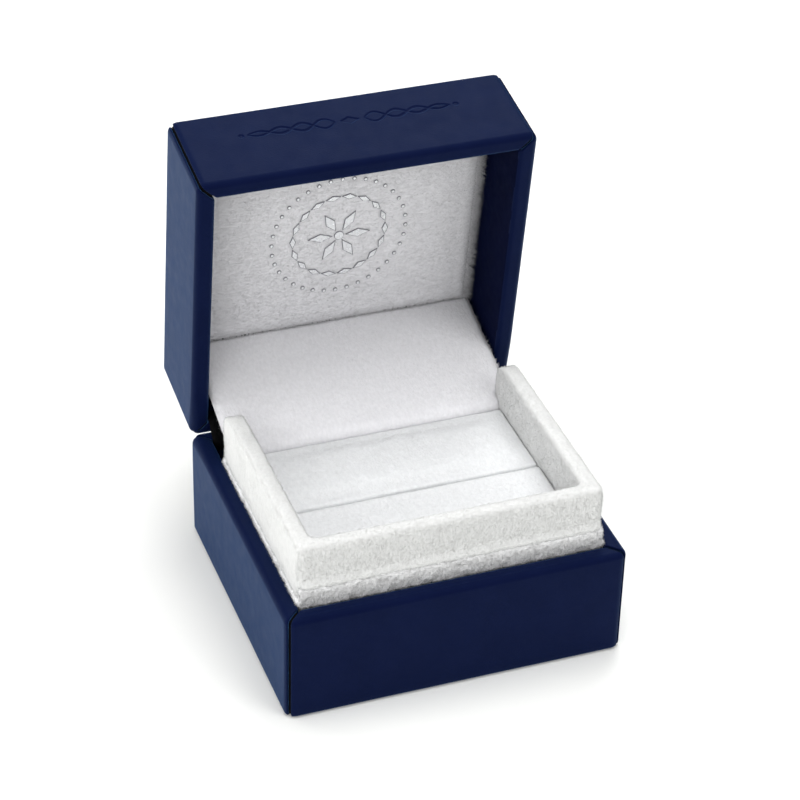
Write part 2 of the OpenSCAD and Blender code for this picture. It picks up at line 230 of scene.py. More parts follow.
class Nodes:
    """A material's node tree, with the few nodes that these materials share."""

    def __init__(self, name):
        self.material = bpy.data.materials.new(name)
        self.material.use_nodes = True
        self.tree = self.material.node_tree
        self.shader = self.tree.nodes["Principled BSDF"]
        self.place = self.tree.nodes.new("ShaderNodeTexCoord").outputs["Object"]

    def link(self, a, b):
        self.tree.links.new(a, b)

    def set(self, **values):
        for name, value in values.items():
            self.shader.inputs[name.replace("_", " ")].default_value = value

    def stretched(self, scale):
        """Object coordinates scaled by (x, y, z), for streaks."""
        n = self.tree.nodes.new("ShaderNodeMapping")
        n.inputs["Scale"].default_value = scale
        self.link(self.place, n.inputs["Vector"])
        return n.outputs["Vector"]

    def noise(self, size, detail=2.0, rough=0.5, place=None):
        """Noise from 0 to 1 with lumps of that size in mm."""
        n = self.tree.nodes.new("ShaderNodeTexNoise")
        n.inputs["Scale"].default_value = 1 / (size * MM)
        n.inputs["Detail"].default_value = detail
        n.inputs["Roughness"].default_value = rough
        self.link(place or self.place, n.inputs["Vector"])
        return n.outputs["Fac"]

    def cells(self, size):
        """Distance to the nearest of scattered points, for grain, with cells of that size in mm."""
        n = self.tree.nodes.new("ShaderNodeTexVoronoi")
        n.inputs["Scale"].default_value = 1 / (size * MM)
        self.link(self.place, n.inputs["Vector"])
        return n.outputs["Distance"]

    def ramp(self, value, low, high, start=0.3, end=0.7):
        """Colour or grey that goes from low to high as value goes from start to end."""
        n = self.tree.nodes.new("ShaderNodeMapRange")
        n.data_type = "FLOAT_VECTOR"
        self.link(value, n.inputs[6])
        for socket, at in ((7, start), (8, end)):
            n.inputs[socket].default_value = (at, at, at)
        for socket, colour in ((9, low), (10, high)):
            n.inputs[socket].default_value = colour
        return n.outputs[1]

    def number(self, value, low, high, start=0.3, end=0.7):
        n = self.tree.nodes.new("ShaderNodeMapRange")
        self.link(value, n.inputs["Value"])
        n.inputs["From Min"].default_value = start
        n.inputs["From Max"].default_value = end
        n.inputs["To Min"].default_value = low
        n.inputs["To Max"].default_value = high
        return n.outputs["Result"]

    def bump(self, height, depth, strength=1.0, under=None):
        """Bump of that depth in mm."""
        n = self.tree.nodes.new("ShaderNodeBump")
        n.inputs["Strength"].default_value = strength
        n.inputs["Distance"].default_value = depth * MM
        self.link(height, n.inputs["Height"])
        if under:
            self.link(under, n.inputs["Normal"])
        return n.outputs["Normal"]

    def finish(self, colour=None, rough=None, normal=None):
        for output, name in ((colour, "Base Color"), (rough, "Roughness"), (normal, "Normal")):
            if output:
                self.link(output, self.shader.inputs[name])
        return self.material


def leatherette():
    n = Nodes("leatherette")
    n.set(Specular_IOR_Level=0.04, Specular_Tint=(0.3, 0.62, 1.0, 1.0),
          Sheen_Weight=0.24, Sheen_Roughness=0.41, Sheen_Tint=(0.15, 0.42, 1.0, 1.0))
    colour = n.ramp(n.noise(6, 3), (0.0026, 0.0044, 0.028), (0.0032, 0.0054, 0.032))
    rough = n.number(n.noise(2.5, 3), 0.44, 0.52)
    grain = n.bump(n.cells(0.26), 0.03, 0.45)
    normal = n.bump(n.noise(0.7, 3), 0.02, 0.2, under=grain)
    return n.finish(colour, rough, normal)


def leatherette_shaded_inside():
    """The same material where it is turned in, flat and matt, its colour darker as painted shade."""
    n = Nodes("turned_in_leatherette_painted_shade")
    n.set(Specular_IOR_Level=0.03, Specular_Tint=(0.3, 0.62, 1.0, 1.0))
    colour = n.ramp(n.noise(4, 3), (0.0022, 0.0036, 0.021), (0.0030, 0.0048, 0.026))
    return n.finish(colour, n.number(n.noise(1.5, 3), 0.72, 0.85), n.bump(n.cells(0.26), 0.03, 0.4))


def plush(name, tone, streak, shade=0.9):
    """Short white pile, as dark as shade between its tufts.
    streak scales the object's axes, so the pile lies along the small one."""
    n = Nodes(name)
    n.set(Specular_IOR_Level=0.12, Sheen_Weight=0.25, Sheen_Roughness=0.6)
    low = tuple(shade * c for c in tone)
    colour = n.ramp(n.noise(0.55, 4, 0.6, n.stretched(streak)), low, tone)
    rough = n.number(n.noise(0.4), 0.86, 0.98)
    tufts = n.bump(n.noise(0.32, 3, 0.6, n.stretched(streak)), 0.16, 0.8)
    normal = n.bump(n.noise(1.3, 3), 0.3, 0.35, under=tufts)
    return n.finish(colour, rough, normal)


def board():
    n = Nodes("black_board")
    n.set(Specular_IOR_Level=0.06)
    colour = n.ramp(n.noise(0.5, 4), (0.0025, 0.0025, 0.003), (0.006, 0.006, 0.0065))
    return n.finish(colour, n.number(n.noise(0.8), 0.85, 0.95), n.bump(n.noise(0.2, 3), 0.04))


def foam():
    n = Nodes("foam")
    colour = n.ramp(n.cells(0.5), (0.50, 0.48, 0.43), (0.74, 0.72, 0.67), 0.1, 0.6)
    return n.finish(colour, n.number(n.noise(1), 0.9, 1.0), n.bump(n.cells(0.5), 0.2))


def steel():
    n = Nodes("hinge_steel")
    n.set(Metallic=1.0)
    lines = n.noise(0.25, 3, 0.6, n.stretched((0.06, 1.0, 1.0)))
    colour = n.ramp(n.noise(3, 3), (0.50, 0.51, 0.53), (0.62, 0.63, 0.65))
    return n.finish(colour, n.number(lines, 0.25, 0.42), n.bump(lines, 0.01, 0.5))


def foil():
    n = Nodes("silver_foil")
    n.set(Metallic=1.0)
    colour = n.ramp(n.noise(0.8, 3), (0.93, 0.94, 0.95), (0.97, 0.975, 0.98))
    return n.finish(colour, n.number(n.noise(0.5, 3), 0.22, 0.4), n.bump(n.noise(0.3, 3), 0.02))


LEATHERETTE = leatherette()
LEATHERETTE_PAINTED_SHADE = leatherette_shaded_inside()
# One white plush throughout: these copies differ in tone part by part as painted light and shade, each
# set to the brightness its part shows under the lamps; the fold and the collar's sides are lighter to
# lift the shade their shapes get.
PLUSH = plush("plush", (0.77, 0.775, 0.765), (1.0, 1.0, 0.45))
PLUSH_SIDE = plush("combed_plush", (0.88, 0.895, 0.885), (1.0, 0.5, 0.5), 0.84)
PLUSH_FOLD = plush("ruffled_plush", (0.93, 0.93, 0.935), (1.0, 1.0, 0.8), 0.8)
PLUSH_FLAT = plush("cushion_plush", (0.82, 0.83, 0.84), (1.0, 0.5, 1.0))
PLUSH_FLAP = plush("apron_plush", (0.85, 0.845, 0.87), (1.0, 0.6, 0.6))
PLUSH_LID = plush("lining_plush", (0.865, 0.86, 0.885), (0.4, 1.0, 1.0), 0.84)
BOARD = board()
FOAM = foam()
STEEL = steel()
FOIL_METAL = foil()
# Dark grey for the bands round the foil's shapes: painted shadow.
FOIL_SHADOW_PLUSH = plush("painted_foil_shadow_plush", (0.26, 0.26, 0.29), (1.0, 1.0, 1.0))


# ---- Leatherette ----

def sheet_faces(rows, columns):
    """Faces of a closed sheet: a grid of points, the same grid for its back, and their edge."""
    n = rows * columns
    i, j = np.meshgrid(np.arange(rows - 1), np.arange(columns - 1), indexing="ij")
    a = (i * columns + j).ravel()
    sheet = np.stack([a, a + columns, a + columns + 1, a + 1], 1)
    ring = np.concatenate([
        np.arange(columns), np.arange(1, rows) * columns + columns - 1,
        n - 2 - np.arange(columns - 1), (rows - 2 - np.arange(rows - 2)) * columns])
    after = np.roll(ring, -1)
    side = np.stack([ring, after, after + n, ring + n], 1)
    return np.concatenate([sheet, sheet[:, ::-1] + n, side])


def arc(x, z, r, start, end, steps):
    """Points and outward normals round part of a circle, angles in degrees."""
    a = np.radians(np.linspace(start, end, steps + 1))
    n = np.stack([np.cos(a), np.sin(a)], 1)
    return [(x + r * u, z + r * v, u, v) for u, v in n]


def straight(x0, z0, x1, z1, normal, step):
    """Points between two ends, neither of them included."""
    count = max(2, int(math.hypot(x1 - x0, z1 - z0) / step) + 1)
    return [(x0 + (x1 - x0) * t, z0 + (z1 - z0) * t, *normal) for t in np.arange(1, count) / count]


def wall_profile(h, turn_in, fine=None):
    """Outer line of a panel from under the closed face, up the wall and down inside it.
    x runs into the box. fine is (low, high, step) for a stretch with closer points."""
    low_z, top_z = PANEL_LIFT + EDGE_R, h - RIM_R
    inner_x, inner_z = WALL_T - RIM_INNER_R, h - RIM_INNER_R
    face = straight(0, low_z, 0, top_z, (-1, 0), 1.2)
    if fine:
        low, high, step = fine
        rows = np.arange(low, high, step)
        face = [p for p in face if not low - step < p[1] < high + step]
        face = sorted(face + [(0, z, -1, 0) for z in rows], key=lambda p: p[1])
    return np.array(
        [(WALL_T, PANEL_LIFT, 0, -1)]
        + straight(WALL_T, PANEL_LIFT, EDGE_R, PANEL_LIFT, (0, -1), 0.6)
        + arc(EDGE_R, low_z, EDGE_R, 270, 180, 6)
        + face
        + arc(RIM_R, top_z, RIM_R, 180, 90, 12)
        + straight(RIM_R, h, inner_x, h, (0, 1), 0.3)
        + arc(inner_x, inner_z, RIM_INNER_R, 90, 0, 7)
        + straight(WALL_T, inner_z, WALL_T, h - turn_in, (1, 0), 1.2)
        + [(WALL_T, h - turn_in, 1, 0)]
    )


def path_ends(run):
    """Along a wall's outer face from its middle: where its two mitres begin to matter, where
    its corner begins to turn, and the seam."""
    flat = run / 2 - CORNER_R
    end = flat + CORNER_R * (math.pi / 4 - math.asin(SEAM_W / 2 / CORNER_R))
    return run / 2 - WALL_T - 1, flat, end


def stations(run, fine=None):
    """Distances along a wall's outer face from its middle, out to the seam at each end."""
    core, flat, end = path_ends(run)
    middle = np.linspace(-core, core, int(2 * core) + 1)
    if fine:
        half, step = fine
        middle = np.concatenate([middle[abs(middle) > half + step], np.arange(-half, half, step)])
    curve = np.linspace(flat, end - 2 * SEAM_EDGE_R, 7)[1:]
    lip = end - SEAM_EDGE_R * np.array([1.5, 1, 0.6, 0.3, 0.12, 0.03, 0])
    side = np.concatenate([np.linspace(core, flat, 5)[1:], curve, lip])
    return np.sort(np.concatenate([middle, side, -side]))


def panel_points(along, section, run, half):
    """Points for every station and every section point (x into the box, z up), and how far
    along its own path each of them is from the seam. section has one row, or one per station."""
    core, flat, end = path_ends(run)
    s, x, z = along[:, None], section[..., 0], section[..., 1]
    bend = np.maximum(CORNER_R - x, 1e-6)
    mitre = SEAM_W / math.sqrt(2)
    turn = math.pi / 4 - np.arcsin(np.minimum(SEAM_W / 2 / bend, 1))
    length = np.where(bend > mitre, flat + bend * turn, run / 2 - x - mitre)
    share = np.clip((abs(s) - core) / (end - core), 0, 1)
    own = np.minimum(abs(s), core) + share * (length - core)
    a = np.where(bend > mitre, np.maximum(own - flat, 0) / bend, 0)
    px = np.sign(s) * np.where(a > 0, flat + np.sin(a) * bend, own)
    py = np.where(a > 0, CORNER_R - np.cos(a) * bend, x) - half
    return np.stack([px, py, z + 0 * px], 2), length - own


def sharpened(section, h, radius):
    """The section once per radius, with the rim's outer edge brought down to that radius."""
    middle = np.array([RIM_R, h - RIM_R])
    on_edge = (section[:, 0] < RIM_R + 1e-6) & (section[:, 1] > h - RIM_R - 1e-6)
    rows = np.repeat(section[None], len(radius), axis=0)
    r = radius[:, None, None]
    new_middle = np.concatenate([r, h - r], axis=2)
    rows[:, on_edge] = new_middle + (section[on_edge] - middle) * r / RIM_R
    return rows


def panel(run, half, h, turn_in, seed, radius, detail=None):
    """Points and faces of one wall's panel, as the front wall of a half that stands upright.
    radius gives the rim's outer radius from the places along the wall, and
    detail is (half length, low, high, step, depth function) for a pressed ornament."""
    along = stations(run, detail and (detail[0], detail[3]))
    line = wall_profile(h, turn_in, detail and detail[1:4])
    rows = sharpened(line[:, :2], h, radius(along))
    outer, left = panel_points(along, rows, run, half)
    inner, _ = panel_points(along, rows - SKIN_T * line[:, 2:], run, half)
    out = outer - inner
    out /= np.linalg.norm(out, axis=2, keepdims=True)
    gap = np.clip(1 - left / SEAM_EDGE_R, 0, 1)
    lip = SEAM_EDGE_R * (1 - np.sqrt(1 - gap ** 2))
    flat_points = outer.reshape(-1, 3)
    wave = 0.02 * noise_at(flat_points, 11, seed) + 0.006 * noise_at(flat_points, 4, seed + 1)
    rise = wave.reshape(len(along), -1) - lip
    if detail:
        on_face = line[:, 2] < -0.999
        rise[:, on_face] -= detail[4](along[:, None], line[None, on_face, 1])
    outer = outer + out * rise[:, :, None]
    rows, columns = len(along), len(line)
    points = np.concatenate([outer.reshape(-1, 3), inner.reshape(-1, 3)])
    n = rows * columns
    i, j = np.meshgrid(np.arange(rows - 1), np.arange(columns - 1), indexing="ij")
    a = (i * columns + j).ravel()
    sheet = np.stack([a, a + 1, a + columns + 1, a + columns], 1)
    faces = [sheet, sheet[:, ::-1] + n]
    r = np.arange(rows - 1) * columns
    for k, back in ((0, 1), (columns - 1, -1)):
        strip = np.stack([r + k, r + k + columns, r + k + columns + n, r + k + n], 1)
        faces.append(strip[:, ::back])
    c = np.arange(columns - 1)
    for k, back in ((0, -1), (n - columns, 1)):
        strip = np.stack([k + c, k + c + 1, k + c + 1 + n, k + c + n], 1)
        faces.append(strip[:, ::back])
    return points, np.concatenate(faces)


def around(points, quarter):
    """Turns a front wall's points to the right, back or left wall."""
    c, s = ((1, 0), (0, 1), (-1, 0), (0, -1))[quarter]
    x, y, z = points.T
    return np.stack([c * x - s * y, s * x + c * y, z], 1)


def box_parts(boxes):
    """Points and quads of separate boxes given as (low, high) in mm."""
    quads = np.array([(0, 1, 3, 2), (4, 6, 7, 5), (0, 4, 5, 1),
                      (2, 3, 7, 6), (0, 2, 6, 4), (1, 5, 7, 3)])
    points, faces = [], []
    for k, (low, high) in enumerate(boxes):
        points += [[(low, high)[(i >> axis) & 1][axis] for axis in range(3)] for i in range(8)]
        faces.append(quads + 8 * k)
    return np.array(points, float), np.concatenate(faces)


def cut_box(o, low, high):
    """Cuts a box, in mm, out of a closed mesh."""
    cutter = make_mesh("cutter", *box_parts([(low, high)]))
    m = o.modifiers.new("cut", "BOOLEAN")
    m.operation, m.solver, m.object = "DIFFERENCE", "EXACT", cutter
    apply_modifiers(o)
    bpy.data.objects.remove(cutter)


FLOURISH_DROP = 7              # its middle, down from the lid's top
FLOURISH_HALF = 18
FLOURISH_DEPTH = 0.17
FLOURISH_WAVES = 4
FLOURISH_START = 2.6
FLOURISH_SLOPE = 0.22          # width of the sloping edge of its lines


def flourish_depth(s, z):
    """Depth pressed into the lid's front at distance s along it and height z from the top."""
    x, y = abs(s), z - FLOURISH_DROP
    u = np.clip((x - FLOURISH_START) / (FLOURISH_HALF - FLOURISH_START), 0, 1)
    swell = 1.35 * (1 - 0.65 * u)
    centre = swell * np.sin(math.pi * FLOURISH_WAVES * u)
    width = 0.09 + 0.2 * np.sin(math.pi * u)
    past = np.maximum(FLOURISH_START - x, x - FLOURISH_HALF)
    strand = np.minimum(abs(y - centre), abs(y + centre)) - width
    strand = np.maximum(strand, past)
    lozenge = (x / 1.7 + abs(y) / 0.95 - 1) * 0.8
    dot = np.hypot(x - FLOURISH_HALF - 1.1, y) - 0.45
    edge = np.minimum(np.minimum(strand, lozenge), dot)
    return FLOURISH_DEPTH * eased(0.5 - edge / FLOURISH_SLOPE)


def rounded_sheet(half_w, half_d, t, seed):
    """Sheet of leatherette with rounded corners and soft edges, its outer face at z = 0."""
    corner, lip, step = 1.0, 0.3, 0.9
    edge = lip * np.array([0, 0.1, 0.3, 0.6, 1.0])

    def spaced(half):
        inner = np.linspace(-half + 2 * lip, half - 2 * lip, int(2 * half / step))
        return np.concatenate([edge - half, inner, (half - edge)[::-1]])

    x, y = np.meshgrid(spaced(half_w), spaced(half_d), indexing="ij")
    q = np.stack([abs(x) - (half_w - corner), abs(y) - (half_d - corner)])
    inside = (q > 0).all(0)
    size = np.maximum(np.hypot(*q), 1e-9)
    shrink = np.where(inside, q.max(0) / size, 1)
    x = np.where(inside, np.sign(x) * (half_w - corner + q[0] * shrink), x)
    y = np.where(inside, np.sign(y) * (half_d - corner + q[1] * shrink), y)
    away = np.where(inside, corner - q.max(0), np.minimum(-q[0], -q[1]) + corner)
    gap = np.clip(1 - away / lip, 0, 1)
    z = lip * (1 - np.sqrt(1 - gap ** 2))
    top = np.stack([x.ravel(), y.ravel(), z.ravel()], 1)
    top[:, 2] += 0.02 * (noise_at(top, 8, seed) + 1) * (gap.ravel() == 0)
    bottom = top.copy()
    bottom[:, 2] = t
    rows, columns = x.shape
    return np.concatenate([top, bottom]), sheet_faces(rows, columns)


def leatherette_half(prefix, body, h, turn_in, place, closed_node):
    """The four wall panels and the closed face's sheet of the base or the lid."""
    walls = (("front", HALF_W, HALF_D), ("right", HALF_D, HALF_W),
             ("back", HALF_W, HALF_D), ("left", HALF_D, HALF_W))
    for quarter, (side, half_run, half) in enumerate(walls):
        detail = None
        if prefix == "lid" and side == "front":
            margin = 2.2
            detail = (FLOURISH_HALF + margin, FLOURISH_DROP - margin, FLOURISH_DROP + margin,
                      0.1, flourish_depth)
        seed = 3 * quarter + (20 if prefix == "lid" else 0)

        def radius(s):
            ends = {"right": s, "left": -s}
            near = np.clip((ends[side] - half_run + 9) / 7, 0, 1) if side in ends else side == "back"
            return RIM_FRONT_R + (RIM_R - RIM_FRONT_R) * (near + 0 * s)

        points, faces = panel(2 * half_run, half, h, turn_in, seed, radius, detail)
        o = make_mesh(f"{prefix}_{side}_leatherette", around(points, quarter), faces)
        if side == "back":
            low = (-NOTCH_W / 2, HALF_D - WALL_T - 0.1, h - NOTCH_DEPTH)
            cut_box(o, low, (NOTCH_W / 2, HALF_D + 1, h + 1))
        middle = np.array([f.center for f in o.data.polygons]) / MM
        deep = half - abs(middle[:, 1 - quarter % 2]) > WALL_T - 0.05
        move_points(o.data, place(points_of(o.data) / MM) * MM)
        if prefix == "lid":
            o.data.flip_normals()
        finished(o, body, "leatherette", LEATHERETTE, f"{prefix}_{side}_wrap")
        # Faces turned in inside the walls take the darker copy of the leatherette: painted shade.
        o.data.materials.append(LEATHERETTE_PAINTED_SHADE)
        o.data.polygons.foreach_set("material_index", (deep & (middle[:, 2] > 2)).astype(int))
    margin = WALL_T + 0.1
    points, faces = rounded_sheet(HALF_W - margin, HALF_D - margin, PANEL_LIFT + SKIN_T - 0.01, 5)
    o = make_mesh(f"{prefix}_face_leatherette", place(points), faces)
    finished(o, body, "leatherette", LEATHERETTE, closed_node)


# ---- Plush ----

def remeshed(name, boxes, voxel, steps):
    """One even, soft-edged closed form from overlapping boxes, voxel in mm."""
    points, faces = box_parts(boxes)
    o = make_mesh(name, points * WORK_SCALE, faces)
    m = o.modifiers.new("even", "REMESH")
    m.mode, m.voxel_size = "VOXEL", voxel * WORK_SCALE * MM
    apply_modifiers(o)
    relaxed(o.data, steps)
    return o


def to_size(o):
    """Brings a piece from the working scale back to its own size."""
    move_points(o.data, points_of(o.data) / WORK_SCALE)


def puffed(o, cap, pinned):
    """Blows a closed form up with Blender's cloth, moving no point more than cap, in mm.
    pinned tells from points in mm which of them stay."""
    start = points_of(o.data)
    group = o.vertex_groups.new(name="held")
    held = np.nonzero(pinned(start / MM / WORK_SCALE))[0].tolist()
    group.add(held, 1.0, "REPLACE")
    cloth = o.modifiers.new("cloth", "CLOTH")
    s = cloth.settings
    s.quality, s.mass = 6, 0.3
    s.tension_stiffness = s.compression_stiffness = 12
    s.shear_stiffness, s.bending_stiffness = 5, 0.4
    s.vertex_group_mass = "held"
    s.use_pressure, s.uniform_pressure_force = True, 4
    s.effector_weights.gravity = 0
    cloth.collision_settings.use_collision = False
    scene = bpy.context.scene
    for step in range(1, 21):
        scene.frame_set(step)
    graph = bpy.context.evaluated_depsgraph_get()
    end = points_of(o.evaluated_get(graph).data)
    o.modifiers.clear()
    o.vertex_groups.clear()
    scene.frame_set(1)
    shift = end - start
    far = np.linalg.norm(shift, axis=1, keepdims=True)
    limit = cap * WORK_SCALE * MM
    move_points(o.data, start + shift * limit * np.tanh(far / limit) / np.maximum(far, 1e-9))


def roughened(o, lumps, seed):
    """Uneven pile: moves the surface in and out by (size, depth) lumps in mm."""
    co, out = points_of(o.data), normals_of(o.data)
    rise = sum(depth * noise_at(co / MM, size, seed + k) for k, (size, depth) in enumerate(lumps))
    move_points(o.data, co + out * rise[:, None] * MM)


def pile(name, host, per_mm2, length, width, lean, where, seed, jitter=0.45, bare=None,
         squeeze=None, facing=None):
    """Tufts of pile over a piece: small closed spikes that lean the way lean says.
    lean is a vector, or a function of (points, normals); where picks the places, in mm;
    bare tells from points in mm where no tuft stands; squeeze presses points back into free space;
    facing is the way the tufts catch the light, if not that of the piece."""
    mesh = host.data
    mesh.calc_loop_triangles()
    corners = np.zeros(len(mesh.loop_triangles) * 3, int)
    mesh.loop_triangles.foreach_get("vertices", corners)
    co = points_of(mesh) / MM
    a, b, c = co[corners.reshape(-1, 3)].transpose(1, 0, 2)
    cross = np.cross(b - a, c - a)
    area = np.linalg.norm(cross, axis=1) / 2
    out = cross / np.maximum(2 * area, 1e-12)[:, None]
    keep = where((a + b + c) / 3, out)
    a, b, c, area, out = a[keep], b[keep], c[keep], area[keep], out[keep]
    rng = np.random.default_rng(seed)
    count = int(area.sum() * per_mm2)
    pick = np.searchsorted(np.cumsum(area) / area.sum(), rng.random(count)).clip(0, len(area) - 1)
    u, v = rng.random((2, count, 1))
    u, v = np.where(u + v > 1, 1 - u, u), np.where(u + v > 1, 1 - v, v)
    root = a[pick] + u * (b[pick] - a[pick]) + v * (c[pick] - a[pick])
    n = out[pick]
    way = lean(root, n) if callable(lean) else np.array(lean, float)
    tip_way = n + way + jitter * rng.normal(size=(count, 3))
    tip_way /= np.linalg.norm(tip_way, axis=1, keepdims=True)
    long = length * (0.6 + 0.7 * rng.random((count, 1)))
    across = np.cross(tip_way, rng.normal(size=(count, 3)))
    across /= np.linalg.norm(across, axis=1, keepdims=True)
    other = np.cross(tip_way, across)
    thick = width * (0.7 + 0.6 * rng.random((count, 1)))
    root = root - TUFT_SINK * n
    tip = root + long * tip_way
    if squeeze:
        tip = squeeze(tip)
    if bare:
        free = ~(bare(root) | bare(tip))
        root, tip, across, other, thick, n, tip_way = (
            each[free] for each in (root, tip, across, other, thick, n, tip_way))
    ring = [root + thick * (across * math.cos(t) + other * math.sin(t)) for t in (0, 2.09, 4.19)]
    if squeeze:
        ring = [squeeze(p) for p in ring]
    points = np.stack([*ring, tip], 1).reshape(-1, 3)
    base = 4 * np.arange(len(root))[:, None]
    cells = np.array([(0, 2, 1), (0, 1, 3), (1, 2, 3), (2, 0, 3)]).ravel()
    if facing is not None:
        n = 0.3 * n + facing
    soft = n + 0.5 * (np.stack([*ring, tip], 1) - root[:, None]).transpose(1, 0, 2) / width / 4
    soft = (soft / np.linalg.norm(soft, axis=2, keepdims=True)).transpose(1, 0, 2).reshape(-1, 3)
    return fast_mesh(name, points, (base + cells).ravel(), soft)


def fast_mesh(name, points, triangles, normals):
    """Object from many triangles at once, points in mm."""
    mesh = bpy.data.meshes.new(name)
    mesh.vertices.add(len(points))
    mesh.vertices.foreach_set("co", (points * MM).ravel())
    mesh.loops.add(len(triangles))
    mesh.loops.foreach_set("vertex_index", triangles)
    mesh.polygons.add(len(triangles) // 3)
    mesh.polygons.foreach_set("loop_start", np.arange(0, len(triangles), 3))
    mesh.update(calc_edges=True)
    mesh.shade_smooth()
    mesh.normals_split_custom_set_from_vertices(normals)
    o = bpy.data.objects.new(name, mesh)
    bpy.context.scene.collection.objects.link(o)
    return o


COLLAR_LOW, COLLAR_HIGH = box("collar_plush")
ROLL_LOW, ROLL_HIGH = box("rim_roll")
FOLD_TOP = ROLL_HIGH[2]
COLLAR_SWELL = 0.33            # pile and padding beyond its card, at each side
COLLAR_RIDGE = 0.75            # its bulge over the fold, at the front
RIM_MIDDLE = (BASE_H + LID_RIM) / 2
INNER_W, INNER_D = HALF_W - WALL_T, HALF_D - WALL_T
TRAY_W = COLLAR_HIGH[0] - COLLAR_T
PUFF = 0.4                     # the most that cloth moves a point of a padded piece
TUFT_SINK = 0.06               # depth of a tuft's root
WALL_GAP = 0.06                # between plush and the lid's inner walls


def squeezed(points):
    """Keeps plush clear of the shut lid's walls; it may fill the groove between the two rims."""
    depth = abs(points[:, 2] - RIM_MIDDLE) - (LID_RIM - BASE_H) / 2
    groove = np.clip(1 - depth / RIM_INNER_R, 0, 0.99)
    room = RIM_INNER_R * (1 - np.sqrt(1 - groove ** 2))[:, None] - WALL_GAP
    low = np.array([-INNER_W, -INNER_D]) - room
    high = np.array([INNER_W, INNER_D]) + room
    return np.concatenate([np.clip(points[:, :2], low, high), points[:, 2:]], axis=1)


def beside_wall(points):
    """Keeps plush in the lid clear of its side walls."""
    reach = INNER_W - WALL_GAP
    return np.concatenate([np.clip(points[:, :1], -reach, reach), points[:, 1:]], axis=1)


def three_walls(low, high, side, front):
    """Boxes of the walls on the left, right and front of the tray, side and front thick."""
    return [
        (low, (low[0] + side, high[1], high[2])),
        ((high[0] - side, low[1], low[2]), high),
        (low, (high[0], low[1] + front, high[2])),
    ]


def collar():
    """Plush-covered wall on three sides of the ring tray."""
    low, high = COLLAR_LOW.copy(), COLLAR_HIGH.copy()
    o = remeshed("collar", three_walls(low, high, COLLAR_T, COLLAR_T), 0.45, 0)
    to_size(o)
    co = points_of(o.data) / MM
    middle = np.array([high[1] - COLLAR_REAR_R, high[2] - COLLAR_REAR_R])
    away = co[:, 1:] - middle
    reach = np.maximum(np.hypot(*away.T), 1e-9)
    beyond = (away > 0).all(1) & (reach > COLLAR_REAR_R)
    co[beyond, 1:] = middle + away[beyond] * (COLLAR_REAR_R / reach[beyond])[:, None]
    move_points(o.data, co * MM)
    relaxed(o.data, 12)
    co = points_of(o.data) / MM
    outer = np.clip((abs(co[:, 0]) - high[0] + COLLAR_T) / COLLAR_T, 0, 1)
    co[:, 0] += np.sign(co[:, 0]) * outer * COLLAR_SWELL
    ridge = eased(1 - abs(co[:, 2] - FOLD_TOP - 0.1) / 1.4)
    front = np.clip((low[1] + COLLAR_T - co[:, 1]) / COLLAR_T, 0, 1)
    co[:, 1] -= COLLAR_RIDGE * front * ridge
    move_points(o.data, co * MM)
    roughened(o, ((2.2, 0.05), (0.8, 0.03)), 31)
    move_points(o.data, squeezed(points_of(o.data) / MM) * MM)
    finished(o, "base", "plush", PLUSH, "collar_plush")
    seat = box("seat_rear_cover")[1][2]

    def within(p, n):
        inside = (abs(p[:, 0]) < high[0] - COLLAR_T + 0.6) & (p[:, 1] > low[1] + COLLAR_T - 0.6)
        return p[:, 2] > np.where(inside, seat - 0.5, RIM_MIDDLE - 0.6)

    def plain(p, n):
        return within(p, n) & ~beside(p, n)

    def beside(p, n):
        return within(p, n) & (abs(p[:, 0]) > high[0] - 0.3) & (p[:, 2] < high[2] - 0.8)

    def combed(p, n):
        swirl = 0.7 * noise_at(p, 5, 44)
        return np.stack([0 * swirl, 0.5 + swirl, -0.9 + 0.6 * swirl], 1)

    for name, count, length, lean, where, seed, material in (
            ("collar_pile", 20, 0.30, (0.1, -0.1, -0.5), plain, 41, PLUSH),
            ("collar_side_pile", 26, 0.55, combed, beside, 42, PLUSH_SIDE)):
        tufts = pile(name, o, count, length, 0.06, lean, where, seed, 0.4, squeeze=squeezed)
        finished(tufts, "base", "plush", material)


def roll():
    """Loose fold of plush round the foot of the collar."""
    low, high = ROLL_LOW, ROLL_HIGH
    side = (high[0] - COLLAR_HIGH[0]) + 0.6
    front = (COLLAR_LOW[1] - low[1]) + 0.6
    o = remeshed("rim_fold", three_walls(low, high, side, front), 0.28, 0)
    to_size(o)
    relaxed(o.data, 9)
    co = points_of(o.data) / MM
    along_side = np.clip((co[:, 1] - low[1] - 0.8) / 1.5, 0, 1)
    tuck = np.clip((co[:, 2] - RIM_MIDDLE - 0.5) / 1.2, 0, 1) * along_side
    bulge = np.exp(-((co[:, 2] - RIM_MIDDLE) / 0.7) ** 2)
    co[:, 0] += np.sign(co[:, 0]) * (0.4 * bulge - 0.9 * tuck)
    front = np.clip((COLLAR_LOW[1] - co[:, 1]) / 0.5, 0, 1)
    co[:, 1] += 0.25 * front * np.clip((FOLD_TOP - co[:, 2]) / (FOLD_TOP - BASE_H), 0, 1)
    move_points(o.data, co * MM)
    roughened(o, ((2.4, 0.12), (1.1, 0.16), (0.5, 0.09)), 51)
    move_points(o.data, squeezed(points_of(o.data) / MM) * MM)
    finished(o, "base", "plush", PLUSH_FOLD, "rim_roll")

    def outside(p, n):
        return (abs(p[:, 0]) > COLLAR_HIGH[0] + 0.1) | (p[:, 1] < COLLAR_LOW[1] + 0.1)

    tufts = pile("rim_fold_pile", o, 34, 0.55, 0.075, (0, -0.15, -0.25), outside, 52, 0.7,
                 squeeze=squeezed)
    finished(tufts, "base", "plush", PLUSH_FOLD)


